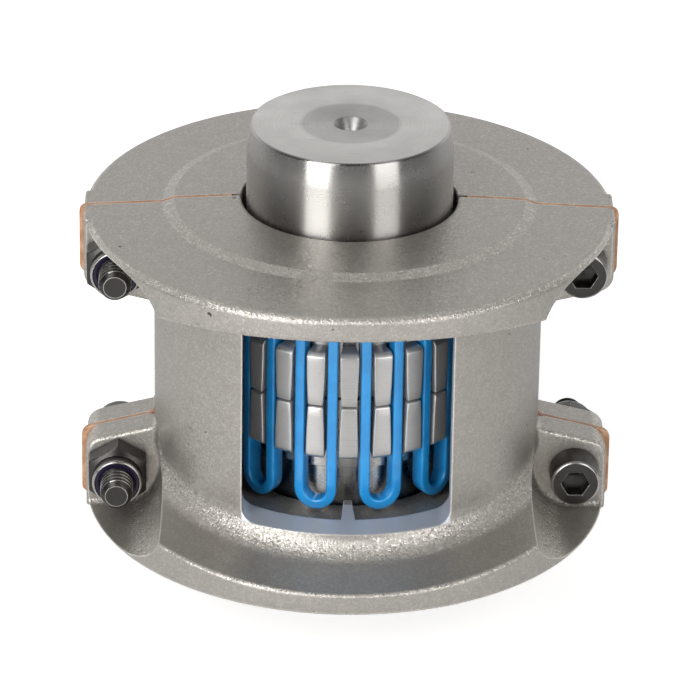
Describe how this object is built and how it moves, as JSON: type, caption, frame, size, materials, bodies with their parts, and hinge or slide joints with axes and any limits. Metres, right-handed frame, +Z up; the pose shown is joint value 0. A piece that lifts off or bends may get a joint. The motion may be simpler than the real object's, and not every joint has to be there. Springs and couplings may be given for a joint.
{
  "type": "grid coupling",
  "caption": "Shaft coupling: two toothed steel hubs joined by a serpentine blue spring strip inside a split cast cover with a viewing window, gaskets and clamp screws.",
  "frame": {"origin": "centre of the lower hub's end face, on which the coupling stands", "axes": "+Z up along the shaft axis, -Y towards the window, +X to the right seen from the window"},
  "size_m": [0.1036, 0.1016, 0.0964],
  "materials": {
    "hub_steel": "turned and ground",
    "blue_strip": "smooth blue paint",
    "cast_aluminium": "blasted casting",
    "gasket_fibre": "pressed fibre",
    "seal_rubber": "matte",
    "dark_steel": "blackened",
    "insert_nylon": "moulded nylon"
  },
  "bodies": {
    "root": {"hub_upper": "hub_steel", "hub_lower": "hub_steel", "grid_spring": "blue_strip", "cover_half_front": "cast_aluminium", "cover_half_rear": "cast_aluminium", "gasket_left": "gasket_fibre", "gasket_right": "gasket_fibre", "seal_upper": "seal_rubber", "seal_lower": "seal_rubber", "grease_plug": "dark_steel", "screw_left_upper": "dark_steel", "nut_left_upper": "dark_steel", "nut_insert_left_upper": "insert_nylon", "screw_left_lower": "dark_steel", "nut_left_lower": "dark_steel", "nut_insert_left_lower": "insert_nylon", "screw_right_upper": "dark_steel", "nut_right_upper": "dark_steel", "nut_insert_right_upper": "insert_nylon", "screw_right_lower": "dark_steel", "nut_right_lower": "dark_steel", "nut_insert_right_lower": "insert_nylon"}
  },
  "joints": []
}
